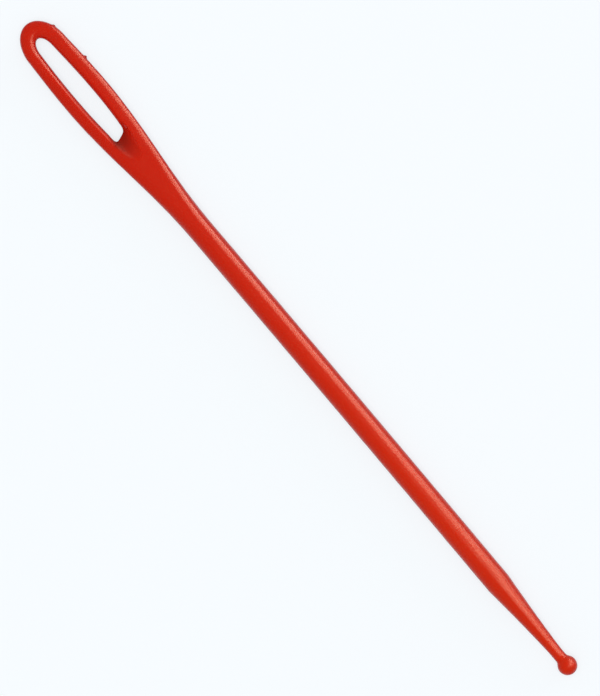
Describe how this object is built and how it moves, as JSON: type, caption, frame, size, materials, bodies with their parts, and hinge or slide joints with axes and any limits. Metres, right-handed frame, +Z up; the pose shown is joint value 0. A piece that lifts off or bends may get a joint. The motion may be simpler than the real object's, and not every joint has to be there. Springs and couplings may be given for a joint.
{
  "type": "yarn needle",
  "caption": "Straight moulded plastic yarn needle with a long closed eye in a flattened head, a gutter behind the eye, a round shank, a short taper and a small ball tip.",
  "frame": {"origin": "under the middle of the needle, on the surface that its shank lies on", "axes": "+X along the needle from the bow of the eye to the ball tip, +Z up through the eye, +Y across the arms"},
  "size_m": [0.15, 0.0086, 0.0045],
  "materials": {
    "needle_plastic": "gloss"
  },
  "bodies": {
    "root": {"eye_bow": "needle_plastic", "eye_arm_left": "needle_plastic", "eye_arm_right": "needle_plastic", "throat": "needle_plastic", "shank": "needle_plastic", "point_taper": "needle_plastic", "ball_tip": "needle_plastic"}
  },
  "joints": []
}
